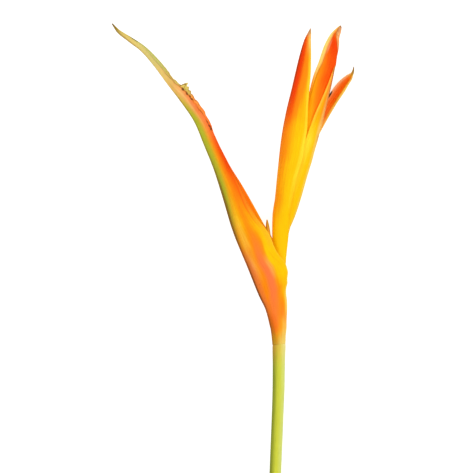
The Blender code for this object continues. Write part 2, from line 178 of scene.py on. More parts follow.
# %% Bract tables
LEFT, RIGHT = 1.0, -1.0
BRACT_TEXT = {
    "bract_1": (LEFT, "table", """
keel -3.75 0 6.3 | -4.1 4 6.5 | -4.5 7.5 6.7 | -5.15 10.5 6.8 | -7.1 18 7.1 | -10.6 25.4 7.3 |
  -16.35 39.9 7.7 | -23.5 57 7.8 | -30.6 80.4 7.2 | -34.6 92.4 6.4 | -39.5 105 5.2 | -44.3 116 4 |
  -51.7 127.2 2.7 | -58.7 136.4 1.5 | -65.6 145.8 .6 | -72.5 153.6 .2 | -78.8 158.4 .3 | -85 163.4 .9 |
  -87.6 167.4 1.5
depth 0 7 | 4 7.5 | 9 8.8 | 13 9.9 | 17 11.3 | 21 13.3 | 25 15.9 | 28 17 | 32 18.7 | 35.5 18.95 | 40 18 |
  49 17.7 | 57 16.5 | 65 15 | 80 11.3 | 92 8.2 | 105 6.8 | 112 6.7 | 118 6.2 | 122 5.9 | 126.5 6.1 |
  129.5 5.7 | 133.3 5.2 | 136 4.8 | 146 3.7 | 154 3.1 | 159 2.6 | 163 1.8 | 167.4 .6
gape 0 2.9 | 3 3.1 | 9 3.4 | 17 3.7 | 25 4.6 | 32 5.2 | 42 5.7 | 57 5.8 | 75 5 | 92 3.8 | 105 2.9 |
  116 2.4 | 127 2 | 136 1.7 | 146 1.35 | 154 1.05 | 160 .75 | 167.4 .3
wrap 0 168 | 9 162 | 17 152 | 25 150 | 32 130 | 40 108 | 50 98 | 80 92 | 105 88 | 130 84 | 167.4 80
roll 0 0 | 80 0 | 105 3 | 122 8 | 128 12 | 133 26 | 136 32 | 154 32 | 167.4 25
far 0 1 | 98 1 | 108 1 | 113 1.05 | 120 1.09 | 126 1.09 | 127 1.06 | 128 1.18 | 128.7 1.1 | 129.8 1.26 |
  130.4 1.16 | 131.2 1.4 | 131.8 1.26 | 132.3 .95 | 135 .9 | 141 1 | 167.4 1
near 0 1 | 36 1 | 41 .965 | 44 .955 | 48 .97 | 54 .975 | 58 .95 | 62 .92 | 70 .893 | 76 .915 | 82 .945 |
  92 .98 | 100 1 | 167.4 1
    """),
    "bract_2": (RIGHT, "table", """
keel 1.6 30 5.1 | 1.4 36 4.6 | 1.2 41 3.9 | 1.3 46 3.4 | 2 56 2.9 | 3.6 66 2.3 | 6 76 1.6 | 9.5 88 1.1 |
  13.4 100 .8 | 17.5 110.1 .6 | 22.35 118.8 .4 | 28 127.8 .15 | 33.3 135.3 .05 | 37.5 140.4 .5 |
  38.6 142.4 1 | 39 145 1.7
depth 30 1.8 | 36 2.6 | 41 1.6 | 46 1.4 | 56 1.6 | 66 2.3 | 76 2.7 | 88 2.9 | 100 2.9 | 110 2.8 |
  119 2.6 | 128 2.4 | 135 2 | 139.5 1.4 | 141.5 .7 | 145 .3
gape 30 2.4 | 36 2.3 | 41 2 | 50 2.1 | 56 2.5 | 66 2.9 | 76 3.3 | 88 3.5 | 100 3.2 | 110 3.2 | 119 3.35 |
  128 3.1 | 135 2.75 | 139.5 1.9 | 141.5 .9 | 145 .3
wrap 30 68 | 36 88 | 145 88
roll 30 60 | 36 76 | 41 88 | 110 90 | 128 84 | 145 80
far 30 1 | 145 1
near 30 1 | 104 1 | 116 .8 | 136 .75 | 145 1
    """),
    "bract_3": (LEFT, "head", """
keel -2.3 41 0 | -2.9 46 0 | -3.4 51 0 | -3.8 58.8 0 | -3.5 67.6 0 | -2.4 76 0 | -1.2 88.4 0 |
  .3 101.4 0 | 1.7 111.8 0 | 3.7 122.2 0 | 6.1 132 0 | 8.4 142 0 | 10.4 150.4 0 | 12.7 158.3 0 |
  15.7 164.3 0
depth 41 5.6 | 46 6.6 | 51 7.6 | 58.8 8.6 | 62 8.6 | 67.6 8.3 | 75 8.6 | 88 10.1 | 101 12 | 112 12.2 |
  122 10.95 | 132 9.1 | 142 7.7 | 150 6 | 158 3.75 | 162 2 | 164.3 .5
gape 41 2.75 | 46 2.9 | 51 3.15 | 58.8 3.6 | 62 3.85 | 68 4.2 | 75 4.5 | 88 4.6 | 101 4.5 | 112 4.1 |
  122 3.6 | 132 3 | 142 2.3 | 150 1.7 | 158 1.05 | 162 .7 | 164.3 .3
wrap 41 150 | 51 150 | 58.8 145 | 62 132 | 67.6 112 | 75 100 | 101 92 | 164.3 86
roll 41 0 | 164.3 0
far 41 1 | 164.3 1
    """),
    "bract_4": (RIGHT, "head", """
keel 3.6 57 0 | 6 62 0 | 8.25 67.6 0 | 10.7 75.4 0 | 14.45 88.4 0 | 16.85 96 0 | 18.35 101.4 0 |
  19.7 106 0 | 20.95 111 0 | 22.7 118 0 | 24.7 125.8 .3 | 26.2 132 .8 | 27.9 139.5 1.8 | 28.9 144.6 2.7
depth 57 1.2 | 60 3.5 | 62 4.5 | 67.6 6.1 | 75 6.75 | 88 6.15 | 101 6.2 | 110 5.6 | 118 4.7 | 126 3.4 |
  130 2.65 | 135 1.8 | 140 1.1 | 144.6 .4
gape 57 2.3 | 60 2.45 | 62 2.6 | 68 3.1 | 75 3.4 | 88 3.5 | 101 3.4 | 110 3.2 | 118 2.9 | 126 2.4 |
  130 2 | 135 1.4 | 140 .9 | 144.6 .3
wrap 57 60 | 60 110 | 62 120 | 67.6 110 | 75 100 | 88 95 | 144.6 88
roll 57 0 | 144.6 0
far 57 1 | 112 1 | 130 .4 | 144.6 .3
    """),
    "bract_5": (LEFT, "head", """
keel -.1 66.5 0 | .2 71 0 | 1.5 76 0 | 5.2 88 0 | 8.4 101 0 | 11 112 0 | 13.4 122 0 | 15.5 131.7 0 |
  17.6 139.9 0 | 20.4 147.2 0 | 23.1 155.2 0 | 24.6 158.4 0 | 26.1 161 0 | 27.6 162.8 0 | 29.2 164.3 0 |
  30.4 165.3 0 | 31.2 165.9 0
depth 66.5 .9 | 70 3.3 | 76 4.6 | 88 5.8 | 101 6.5 | 112 6.8 | 122 7.2 | 131.7 8.2 | 139.9 8.9 | 143.5 9 |
  147.2 8.95 | 151.3 8.2 | 155.2 7.75 | 157 7.4 | 158.4 6.85 | 161 5.75 | 162.8 4.6 | 164.3 3.5 |
  165.3 2.5 | 165.9 1.6
gape 66.5 1.9 | 76 2.1 | 88 2.2 | 112 2 | 131.6 2.1 | 139.9 2.1 | 147.2 1.9 | 155 1.5 | 160 1.1 | 163 .8 |
  165.9 .3
wrap 66.5 60 | 70 130 | 76 150 | 88 155 | 131.6 155 | 139.9 150 | 147.2 130 | 155 100 | 160 92 |
  165.9 85
roll 66.5 0 | 165.9 0
far 66.5 1 | 165.9 1
near 66.5 1 | 149 1 | 154 .99 | 156 .96 | 158.4 .9 | 161.3 .8 | 163.5 .62 | 165 .45 | 165.9 .4
    """),
}
BRACTS = {
    name: {"side": side, "level": level, **dict(read_tables(text, 1))}
    for name, (side, level, text) in BRACT_TEXT.items()
}
print(len(BRACTS), "bracts measured")

# %% [markdown]
# ## Where the pigments lie
#
# The bracts are orange. Over that lie eleven pigments in this order, from gold and
# red through pale waxes and greens to brown and black. Brown marks the dry tips and
# rims and dark lines along the keels; on bract_1 some of it is painted shade along
# the keel side and the near rim. Each pigment is a few soft stripes that run along
# the bract. A stripe is measured across the bract by the share of the way from keel
# to rim ("span", or with "near_" or "far_" on one half only), or in millimetres from
# the keel, from either rim, or from the near or far rim. "crisp" is "near" with hard
# edges. The rows of a stripe are where along the bract, its centre, its width and its
# strength. A width of ALL covers a whole face, and so does "all", whose rows are only
# (along, strength).

# %% Pigment tables
PIGMENTS = {
    "gold": (253, 196, 4),
    "red": (240, 58, 2),
    "salmon": (249, 120, 62),
    "lemon": (254, 219, 48),
    "straw": (255, 217, 124),
    "sage": (208, 214, 134),
    "green": (183, 186, 44),
    "pale": (252, 226, 120),
    "blush": (244, 184, 142),
    "brown": (118, 62, 16),
    "black": (24, 16, 8),
}
GROUND = (254, 138, 10)

STRIPE_TEXT = {
    "bract_1": {
        # Painted light on bract_1's outside. The wide brown keel band from 0 to 30 mm is painted shade on
        # the keel side at the neck. The softer brown keel bands from 8 to 110 mm paint shade on the keel
        # side further up. The thin brown keel line is partly the keel's own dark edge and partly painted
        # shade. The brown line on the near rim from 62 to 104 mm is painted shade, and the dry spots come
        # after it. The red stripe 2.2 mm in from the near rim at 11 to 23 mm is a painted shadow of the
        # overlapping rim. The pale stripe at the rim of the base, up to 20 mm, is a painted highlight
        # that carries on the stem's.
        "outside": """
gold span 2 .8 .5 0 | 6 .8 .4 .35 | 11 .8 .35 .2 | 15 .8 .3 0
gold span 18 1.1 .3 0 | 25 1 .25 .5 | 32 .98 .34 1 | 40 1 .29 .9 | 49 1 .24 .9 | 57 .9 .24 .75 |
  65 .82 .2 .3 | 76 .8 .2 0
gold near 12 0 1.5 0 | 18 0 2.4 .5 | 24 0 2.8 .8 | 34 0 3 .5 | 40 0 1 0
gold crisp 30 0 6.6 0 | 36 0 6.3 .6 | 40 0 5.8 .95 | 44 0 5.2 .95 | 48 0 4.8 .9 | 53 0 4.6 .4 |
  58 0 4.6 0
gold span 28 .15 .1 0 | 49 .22 .14 .35 | 57 .3 .15 .5 | 65 .38 .15 .55 | 80 .4 .12 .35 | 92 .42 .1 .3 |
  110 .4 .1 0
straw span -1 1 .7 .7 | 4 1 .45 .38 | 9 1 .26 .15 | 14 1 .25 0
straw span 30 .2 .1 0 | 42 .2 .1 .15 | 54 .24 .1 .15 | 66 .26 .1 0
straw span 30 .6 .05 0 | 37 .6 .06 .25 | 44 .62 .05 0
straw span 104 .3 .4 0 | 116 .35 .3 .3 | 126 .35 .35 .6 | 134 .4 .8 .7 | 142 .5 ALL .9 | 162 .5 ALL 1 |
  167 .5 ALL .4
lemon span 46 .22 .08 0 | 54 .24 .1 .2 | 66 .3 .1 .3 | 80 .34 .1 0
lemon near 40 0 .8 0 | 48 0 .8 .1 | 60 0 .8 .1 | 70 0 .8 0
sage span 142 .5 ALL 0 | 148 .6 .7 .5 | 154 .8 .6 .5 | 158 .9 .4 .1 | 161 .9 .4 0
red span 66 1 .2 0 | 76 .95 .3 .35 | 84 .95 .3 .6 | 93 1 .32 .9 | 105 1 .3 .7 | 116 1 .28 .35 |
  124 .95 .25 .15 | 132 .9 .2 0
red near 58 1.9 .22 0 | 62 1.9 .22 .4 | 72 1.8 .24 .55 | 80 1.5 .24 .3 | 86 1.3 .2 0
red span 5 .25 .2 0 | 9 .25 .22 .38 | 13 .22 .2 .42 | 17 .18 .18 .2 | 24 .2 .15 0
red near 11 2.2 .8 0 | 14 2.2 .9 .2 | 18 2.3 .9 .28 | 23 2.2 .8 0
red span 16 .4 .03 0 | 22 .43 .035 .16 | 30 .44 .035 .18 | 40 .44 .03 .1 | 46 .46 .03 0
salmon span 3 .5 .4 0 | 10 .4 .25 .3 | 18 .42 .22 .6 | 25 .5 .15 .9 | 32 .49 .12 1 | 39 .46 .12 .85 |
  46 .5 .12 .45 | 52 .53 .1 .2 | 58 .55 .08 0
salmon span 12 .1 .1 0 | 22 .1 .1 .5 | 40 .1 .1 .7 | 50 .12 .1 0
salmon span 126 .1 .3 0 | 134 .1 .35 .3 | 142 .1 .3 .2 | 150 .1 .3 0
salmon near 44 0 2.6 0 | 48 0 2.4 .2 | 56 0 2.2 .15 | 66 0 1.6 .15 | 76 0 1.5 .1 | 84 0 1.2 0
salmon span 98 .8 .3 0 | 108 .8 .3 .25 | 120 .7 .3 .65 | 130 .6 .3 .65 | 140 .5 .3 .3 | 150 .5 .3 0
green span -1 .7 .6 .45 | 2 .7 .6 .4 | 5 .7 .5 .25 | 8 .8 .4 .08 | 10 .8 .4 0
green keel -1 0 2.4 .5 | 3 0 2.3 .4 | 7 0 1.8 .15 | 11 0 1.5 0
green span 48 0 .1 0 | 57 0 .14 .5 | 65 0 .22 .8 | 80 .08 .26 1 | 92 .08 .34 1 | 105 .12 .38 1 |
  116 .12 .38 1 | 123 .08 .38 .8 | 132 0 .3 .3 | 142 .5 ALL .05 | 156 .5 ALL .05 | 162 .5 ALL .3 |
  167 .5 ALL 1
pale span 0 1 .4 .55 | 4 1 .35 .42 | 8 1 .25 .25 | 12 .95 .2 .15 | 20 .9 .2 0
pale rim 0 0 .5 .2 | 12 0 .9 .3 | 18 0 1 .6 | 25 0 .7 .3 | 40 0 .4 .1 | 57 0 .4 .05 | 70 0 .4 0
pale span 134 .3 .3 0 | 142 .3 .3 .3 | 152 .4 .5 .2 | 158 .4 .6 .3 | 164 .5 ALL 0
blush span 104 .75 .25 0 | 114 .75 .25 .08 | 124 .7 .25 .15 | 134 .7 .3 .08 | 140 .7 .3 0
brown near 34 2.4 .35 0 | 38 2.5 .35 .13 | 42 3 .35 .13 | 44 3 .35 0
brown keel 0 0 3.2 .28 | 4 0 2.6 .34 | 9 0 2.1 .42 | 13 0 1.9 .32 | 17 0 1.7 .15 | 22 0 1.6 .05 |
  30 0 1.6 0
brown keel 0 0 .9 .3 | 4 0 .8 .35 | 8 0 .7 .45 | 18 0 .8 .65 | 26 0 .9 .9 | 34 0 .8 .85 | 45 0 .7 .6 |
  52 0 .9 .65 | 60 0 1.1 .7 | 68 0 1.3 .75 | 78 0 1.1 .7 | 88 0 .9 .5 | 100 0 .6 .3 | 125 0 .5 .35 |
  150 0 .5 .4 | 162 0 1.5 .5 | 167 0 3 .8
brown keel 8 0 1.8 0 | 20 0 2 .08 | 29 0 1.7 .16 | 36 0 2.2 .22 | 44 0 2.2 .25 | 56 0 1.8 .15 |
  64 0 1.5 0
brown keel 50 0 1.6 0 | 60 0 2.1 .2 | 80 0 2.1 .24 | 98 0 1.7 .14 | 110 0 1.4 0
brown near 62 0 .3 0 | 74 0 .35 .25 | 86 0 .35 .35 | 95 0 .35 .2 | 104 0 .4 .2 | 108 0 .5 .1 |
  110.5 0 .7 .7 | 112 0 .5 .2 | 113.5 0 .7 .7 | 115.5 0 .4 .1 | 119 0 .5 .5 | 122 0 .5 .1 | 127 0 .6 .5 |
  132 0 .5 .4 | 136 0 .5 .45 | 142 0 .4 .4 | 155 0 .3 .2
        """,
        "inside": """
gold all 0 .9 | 50 .9 | 60 .5 | 70 .2 | 90 .1
red span 60 .8 ALL 0 | 68 .8 ALL .2 | 76 .8 ALL .35 | 90 .8 ALL .45 | 102 .8 ALL .3 | 114 .8 ALL 0
salmon all 80 0 | 92 .3 | 112 .5 | 120 .3 | 128 .1 | 131 0
lemon all 0 .3 | 40 .6 | 50 .5 | 58 .1 | 66 0
lemon far 50 0 .4 0 | 58 0 .4 .3 | 78 0 .4 .2 | 88 0 .4 0
straw all 112 0 | 124 .4 | 134 .8 | 167 .9
sage span 126 .7 ALL 0 | 129 .7 ALL .75 | 133 .7 ALL .7 | 138 .7 ALL .35 | 143 .7 ALL .8 | 156 .7 ALL .9 |
  160 .6 ALL .5 | 164 .5 ALL .3
green span 126 .7 ALL 0 | 129 .7 ALL .4 | 133 .7 ALL .3 | 143 .7 ALL .2 | 156 .7 ALL .3 | 160 .6 ALL .3 |
  167 .5 ALL .8
pale span 127 .9 ALL 0 | 130 .9 ALL .6 | 133 .9 ALL .5 | 137 .9 ALL 0
brown far 116 0 .3 0 | 122 0 .4 .3 | 129 0 .4 .5 | 131 0 .4 .2 | 136 0 .5 .3 | 150 0 .4 .4 | 158 0 .6 .7 |
  161 0 .6 .2 | 167 0 3 .8
brown far 128 2.6 .3 0 | 130 2.4 .5 .4 | 132.2 .7 .7 .9 | 133.6 .6 .6 0
        """,
    },
    "bract_2": {
        "outside": """
gold all 30 .9 | 100 .6 | 120 .1
red span 105 .3 .6 0 | 124 .3 .6 .6 | 138 .3 .6 .8 | 143 .3 .6 .3
pale rim 30 0 .6 .4 | 110 0 .8 .6 | 142 0 .6 .6
brown keel 110 0 .3 0 | 130 0 .4 .4 | 140 0 .5 .4 | 145 0 3 .8
        """,
        "inside": """
gold all 30 .9 | 105 .6 | 118 .1
red span 112 .2 .8 0 | 118 .1 .45 .35 | 124 .1 .5 .5 | 130 .1 .5 .7 | 138 .1 .5 .65 | 141 .2 .4 .2
salmon all 106 .4 | 116 .8 | 121 .4 | 126 0
salmon far_span 120 1 .6 .5 | 128 1 .72 1 | 138 1 .72 1 | 143 1 .6 .3
blush far_span 118 1 .5 .3 | 126 1 .5 .5 | 138 1 .5 .5 | 142 1 .5 .4
lemon near_span 112 1 .6 .4 | 124 1 .6 .7 | 138 1 .6 .7 | 142 1 .6 0
pale near_span 112 1 .4 .4 | 122 1 .4 .5 | 132 1 .4 .5 | 141 1 .6 .6
pale far_span 118 1 .8 .1 | 126 1 .8 .15 | 137 1 .7 .2 | 141 1 .7 .3
pale all 108 0 | 116 .4 | 120 0
brown all 140.5 0 | 142 .4 | 145 .7
green all 139 0 | 142 .6 | 145 1
        """,
    },
    "bract_3": {
        "outside": """
gold keel 52 0 1.2 0 | 60 0 1.2 .3 | 90 0 1.2 .3 | 100 0 1 0
gold span 41 .5 ALL 1 | 52 .5 ALL 1 | 58 .65 .9 1 | 68 .75 .62 1 | 75 .8 .54 1 | 88 .8 .62 1 |
  101 .8 .48 1 | 112 .8 .49 .97 | 122 .85 .32 .78 | 132 .95 .24 .6 | 142 1 .2 .4 | 150 1 .2 .4 |
  158 1 .3 .2
red span 104 .05 .1 0 | 112 .1 .14 .2 | 122 .14 .18 .75 | 132 .13 .23 .95 | 142 .15 .28 1 |
  150 .15 .36 1 | 156 .13 .42 .9 | 161 .1 .5 .6 | 163.5 .1 .5 0
lemon rim 70 0 .9 0 | 80 0 1.6 .4 | 100 0 1.8 .8 | 112 0 1.4 .7 | 122 0 1.2 .6 | 132 0 1.2 .6 |
  145 0 1.1 .5 | 156 0 .9 .4 | 162 0 3 .1
blush all 160 0 | 162 .4 | 164.3 .6
straw all 161 0 | 163 .5 | 164.3 .9
straw span 150 1 .3 0 | 156 1 .4 .4 | 162 1 .5 .5 | 164.3 1 .5 .5
brown keel 95 0 .4 0 | 115 0 .4 .2 | 130 0 .5 .3 | 142 0 .8 .45 | 152 0 .8 .5 | 160 0 .8 .3 | 164 0 3 .5
        """,
        "inside": """
gold all 41 1 | 130 .8 | 160 .3
lemon span 41 .9 ALL .4 | 130 .9 ALL .6 | 160 .9 ALL .3
        """,
    },
    "bract_4": {
        "outside": """
gold span 57 .6 ALL 1 | 104 .6 ALL 1 | 112 .7 1 .85 | 118 .8 .6 .6 | 126 .9 .5 .5 | 135 .9 .4 .2 |
  144 .8 .4 0
lemon span 70 .8 .3 .2 | 92 .85 .35 .5 | 104 .8 .4 .8 | 110 .8 .35 .4 | 116 .9 .3 0
lemon rim 75 0 .6 .3 | 100 0 .8 .5 | 112 0 .8 .3 | 126 0 .6 .3 | 138 0 .5 .3 | 144 0 .5 .1
pale keel 60 0 .7 .1 | 75 0 .8 .3 | 88 0 .9 .35 | 101 0 .8 .2 | 112 0 .6 0
salmon keel 98 0 1 0 | 106 0 1.2 .3 | 114 0 1 .2 | 126 0 1 .3 | 140 0 1 .3
straw keel 92 0 1 0 | 102 0 1.3 .35 | 112 .2 1.3 .5 | 120 .2 1 .4 | 128 .2 .8 .25 | 138 .2 .7 .1 |
  144 0 1 0
straw rim 112 .4 .7 0 | 118 .5 .7 .1 | 130 .4 .6 .15 | 144 0 .5 .2
brown keel 104 0 .4 0 | 108 0 .7 .3 | 111 0 .4 .05 | 124 0 .4 .25 | 140 0 .6 .5 | 144.6 0 3 .5
        """,
        "inside": """
gold all 57 1 | 130 .6
lemon span 57 .9 ALL .4 | 130 .9 ALL .5
        """,
    },
    "bract_5": {
        "outside": """
gold span 66 .5 ALL .9 | 102 .5 ALL .8 | 110 .2 .9 .8 | 118 .1 .6 .8 | 128 .1 .35 .5 | 138 .1 .25 .3 |
  146 .1 .2 0
red span 112 1 .4 0 | 122 .95 .45 .25 | 132 .9 .5 .45 | 140 .85 .42 .7 | 147 .85 .5 .8 | 153 .83 .57 .9 |
  158 .72 .6 .95 | 161 .6 .55 .85 | 163 .5 .4 .5 | 165 .4 .3 0
salmon keel 146 1.9 .5 0 | 151 2 .6 .45 | 156 2 .6 .5 | 161 1.7 .5 .2
straw all 163 0 | 164.8 .4 | 165.9 .8
blush keel 151.5 2.3 .5 0 | 155 2.4 .55 .3 | 157.5 2.3 .5 .25 | 160 2.2 .5 0
pale keel 124 0 .5 0 | 132 0 .8 .1 | 138 0 1 .45 | 143 0 1.3 .85 | 148 0 1.65 .95 | 156 0 1.7 .95 |
  160.5 0 1.5 .9 | 162.8 0 1 .7 | 164.8 0 .7 .2
brown keel 124 .9 .3 0 | 132 1.1 .3 .3 | 137 1.4 .3 .35 | 143 1.6 .3 .35 | 148 2 .25 .25 |
  157 2.1 .25 .2 | 162 1.8 .3 .2
brown near 148 0 .2 0 | 153 0 .3 .4 | 161 0 .3 .4
brown all 165.6 0 | 165.9 .5
        """,
        "inside": """
gold all 66 .9 | 140 .6 | 150 0
salmon all 140 0 | 150 .9 | 160 .8 | 166 .4
straw span 150 .5 ALL 0 | 156 .8 .6 .2 | 166 .5 ALL .5
blush span 146 .5 ALL 0 | 152 .6 ALL .6 | 157 .6 ALL .55 | 160 .6 ALL .25 | 163 .6 ALL .3 |
  166 .6 ALL .7
pale span 66 .9 ALL .3 | 150 1 .3 .2 | 166 1 .3 .2
brown all 165.5 0 | 165.9 .5
        """,
    },
}
# Blackened spots: along, where across, length, width, strength. Across runs from -1 at
# the far rim through 0 at the keel to 1 at the near rim.
SPOT_TEXT = """
bract_1 157.4 -.9 1.2 .3 .7 | 130.3 .97 .5 .07 .7 | 127.9 .97 .5 .07 .6 | 126.2 .98 .45 .05 .6 |
  124.9 .98 .5 .05 .7 | 111.6 .98 .7 .05 .6 | 109.9 .97 .4 .05 .6
bract_2 127.7 -.93 2.9 .22 1
"""
SPOTS = dict(read_tables(SPOT_TEXT, 1))


def stripes_of(text):
    """A face's stripes: for each pigment a list of (measure, rows)."""
    found = {}
    for pigment, measure, rows in read_tables(text, 2):
        if measure == "all":
            measure = "span"
            rows = [(along, 0.5, ALL, strength) for along, strength in rows]
        found.setdefault(pigment, []).append((measure, rows))
    return found


STRIPES = {
    bract: {face: stripes_of(text) for face, text in faces.items()}
    for bract, faces in STRIPE_TEXT.items()
}
SOFT_EDGE = 4
EDGES = {"crisp": 16, "span": 3, "near_span": 3, "far_span": 3}


def stripe(measure, along, rows, power=SOFT_EDGE):
    """How much of a pigment each point has: strength exp(-(|measure - centre| / width)^power)."""
    place, centre, width, strength = np.array(rows, float).T
    read = [graph(np.stack([place, column], 1), along) for column in (centre, width, strength)]
    return read[2] * np.exp(-(np.abs((measure - read[0]) / read[1]) ** power))


def spread(stripes, measures, along):
    """Stripes of one pigment laid over each other: 1 - the product of (1 - each)."""
    bare = np.ones_like(along)
    for kind, rows in stripes:
        bare = bare * (1 - stripe(measures[kind], along, rows, EDGES.get(kind, SOFT_EDGE)))
    return 1 - bare


print(len(PIGMENTS), "pigments over the ground")

# %% [markdown]
# ## The skin of a bract
#
# The wall is about two thirds of a millimetre thick at the keel and thins to a
# soft rounded rim. The section is part of an ellipse. The skin runs once round
# it: along the outside from the far rim to the near one, over the rim, back
# along the inside and over the far rim. Old bracts have long shallow folds
# beside the keel, and their rims wave a little.

# %% One bract's grid
ROW_STEP = 0.5
HALF_COLUMNS = 44
SHEET_COLUMNS = 2 * HALF_COLUMNS + 1
WALL = 0.65
RIM_TURN = np.radians([45.0, 90.0, 135.0])
RIM_COLUMNS = len(RIM_TURN)
# More than any distance on a bract, so that a stripe of one rim misses the other half
OTHER_HALF = 99.0
# Heights of the long folds, the hills, the wavy rim and the keel's ridge, and how far
# the whole skin is drawn in so that these stay inside the solid's size
FOLD, HILL, WAVE, RIDGE, SHRINK = 0.10, 0.16, 0.35, 0.12, 0.06
# The wall at the rim as a share of WALL, what it gains to the keel, and the length of
# the base over which it grows
RIM_SHARE, KEEL_MORE, BASE_LENGTH = 0.55, 0.45, 3.0
# A bract is solid where half its width is less, and opens over so much more
SOLID_BELOW, OPENS_OVER = 0.9, 0.8


def bract_section(shape, points, inset):
    """Sections of a bract in its own plane, and the direction out of its skin.

    depth = a - a cos(angle) and width = gape sin(angle), where a is the rim's
    depth over 1 - cos(wrap). The inside has the wall taken off both half axes,
    less and less where the bract is too slim to be hollow.
    """
    y = points[:, 1]
    depth, gape, wrap, far = (graph(shape[k], y)[:, None] for k in ("depth", "gape", "wrap", "far"))
    wrap = np.radians(wrap)
    near = graph(shape.get("near", [(0, 1.0), (200, 1.0)]), y)[:, None]
    across = np.linspace(-1, 1, SHEET_COLUMNS)[None, :]
    across = across + 0.25 * np.sin(math.pi * across) / math.pi
    reach = wrap * np.where(across < 0, far, near)
    angle = across * reach
    half = depth / (1 - np.cos(wrap))
    start = np.clip((y[:, None] - y[0]) / BASE_LENGTH, 0.05, 1)
    wall = inset * (RIM_SHARE + KEEL_MORE * (1 - np.abs(across) ** 4)) * start
    openness = np.clip((gape - SOLID_BELOW) / OPENS_OVER, 0.05, 1)
    narrow = gape if inset == 0 else np.maximum(gape - wall, 0.35 * gape)
    floor = half - np.maximum(half - wall, 0.1 * half) * np.cos(angle)
    edge = half * (1 - np.cos(reach))
    deep = edge - (edge - floor) * openness if inset else floor
    out = unit(np.stack([-gape * np.cos(angle), half * np.sin(angle)], -1))
    span = (1 - np.cos(angle)) / (1 - np.cos(reach))
    return deep, narrow * np.sin(angle), out, across + 0 * deep, span, edge


def bract_grid(name, shape, seed):
    """The skin's points, and for each its place across, its face, its place along, its measures."""
    points = path(shape["keel"], ROW_STEP)
    if shape["level"] == "head":
        points[:, 2] += axis_height(points[:, 1])
    y = points[:, 1]
    tangent = unit(np.gradient(points, axis=0))
    level = unit(shape["side"] * np.stack([tangent[:, 1], -tangent[:, 0], 0 * y], 1))
    roll = np.radians(graph(shape["roll"], y))[:, None]
    up = np.array([0.0, 0.0, 1.0])
    mouth = np.cos(roll) * level + np.sin(roll) * up
    over = -np.sin(roll) * level + np.cos(roll) * up

    loose = np.clip((140 - graph(shape["wrap"], y)) / 40, 0, 1)[:, None]
    ends = np.clip(np.minimum(y - y[0], y[-1] - y) / 10, 0, 1)[:, None]
    sheets = []
    for inset in (0.0, WALL):
        deep, width, out, across, span, depth = bract_section(shape, points, inset)
        away = np.abs(across)
        hills = HILL * noise(across * 2.2, y[:, None] / 13, seed)
        folds = FOLD * np.cos(across * 19) * (1 - away) + hills
        wave = WAVE * away**5 * noise(np.sign(across) * 3 + 0.2, y[:, None] / 7, seed + 1)
        ridge = RIDGE * np.exp(-((across / 0.05) ** 2))
        lift = (folds * loose + wave * loose + ridge) * ends - SHRINK
        if name == "bract_1":
            dry = graph([(104, 0), (116, 1), (136, 1), (146, 0)], y)[:, None] * away**8
            lift = lift + dry * 0.5 * noise(across * 2 + 5, y[:, None] / 1.7, seed + 2)
            deep = deep + dry * 0.35 * noise(across, y[:, None] / 1.1, seed + 3)
        deep = deep + lift * out[..., 0]
        width = width + lift * out[..., 1]
        spot = deep[..., None] * mouth[:, None, :] + width[..., None] * over[:, None, :]
        spot = points[:, None, :] + spot
        spot[..., 2] = np.maximum(spot[..., 2], 0.02 + inset / 2)
        sheets.append(spot)
    outer, inner = sheets

    def rim(edge, before, lining):
        """A half round from the outer sheet's edge to the inner one's."""
        middle, half = (edge + lining) / 2, (edge - lining) / 2
        ahead = unit(edge - before) * np.linalg.norm(half, axis=1)[:, None]
        turn = RIM_TURN[None, :, None]
        return middle[:, None] + np.cos(turn) * half[:, None] + np.sin(turn) * ahead[:, None]

    near_rim = rim(outer[:, -1], outer[:, -2], inner[:, -1])
    far_rim = rim(outer[:, 0], outer[:, 1], inner[:, 0])[:, ::-1]
    grid = np.concatenate([outer, near_rim, inner[:, ::-1], far_rim], 1)
    one = np.ones((len(y), RIM_COLUMNS))
    across = np.concatenate([across, one, across[:, ::-1], -one], 1)
    inside = np.concatenate([0 * outer[..., 0], 0.5 * one, 0 * outer[..., 0] + 1, 0.5 * one], 1)
    first, last = span[:, :1] * one, span[:, -1:] * one
    span = np.concatenate([span, last, span[:, ::-1], first], 1)
    first, last = depth[:, :1] * one, depth[:, -1:] * one
    depth = np.concatenate([depth, last, depth[:, ::-1], first], 1)
    to_rim = (1 - span) * depth
    on_far = np.where(across < 0, 0.0, OTHER_HALF)
    to_near = to_rim + OTHER_HALF - on_far
    measures = {
        "span": span,
        "keel": span * depth,
        "rim": to_rim,
        "near": to_near,
        "far": to_rim + on_far,
        "crisp": to_near,
        "near_span": np.where(across > 0, span, -OTHER_HALF),
        "far_span": np.where(across < 0, span, -OTHER_HALF),
    }
    return grid, across, inside, y[:, None] + 0 * across, measures


def ring_quads(number):
    """Quads between each row of point numbers and the next one, closed round the rows."""
    right = np.roll(number, -1, axis=1)
    return np.stack([number[:-1], right[:-1], right[1:], number[1:]], -1).reshape(-1, 4)


def fan(row, middle):
    """Triangles from the neighbours in a closed row of point numbers to one more point."""
    return np.stack([row, np.roll(row, -1), np.full(len(row), middle)], -1)


def past_end(grid, distance):
    """A point that lies a distance past the middle of the last row."""
    last = grid[-1].mean(0)
    return last + unit(last - grid[-3].mean(0)) * distance


def bract_faces(rows, columns):
    """Quads round every row, a fan at the tip, and the crescent at the base.

    The crescent is quads between its two sides, with a five-point cap at each end.
    """
    number = np.arange(rows * columns).reshape(rows, columns)
    inner_start, inner_end = SHEET_COLUMNS + RIM_COLUMNS, 2 * SHEET_COLUMNS + RIM_COLUMNS
    outer = number[0, :SHEET_COLUMNS]
    inner = number[0, inner_start:inner_end][::-1]
    base = np.stack([outer[:-1], inner[:-1], inner[1:], outer[1:]], -1)
    near_cap = number[0, SHEET_COLUMNS - 1 : inner_start + 1]
    far_cap = np.concatenate([number[0, inner_end - 1 :], number[0, :1]])
    groups = [ring_quads(number), base, fan(number[-1], rows * columns)]
    caps = [near_cap[::-1], far_cap[::-1]]
    return [face for group in groups for face in group.tolist()] + [cap.tolist() for cap in caps]


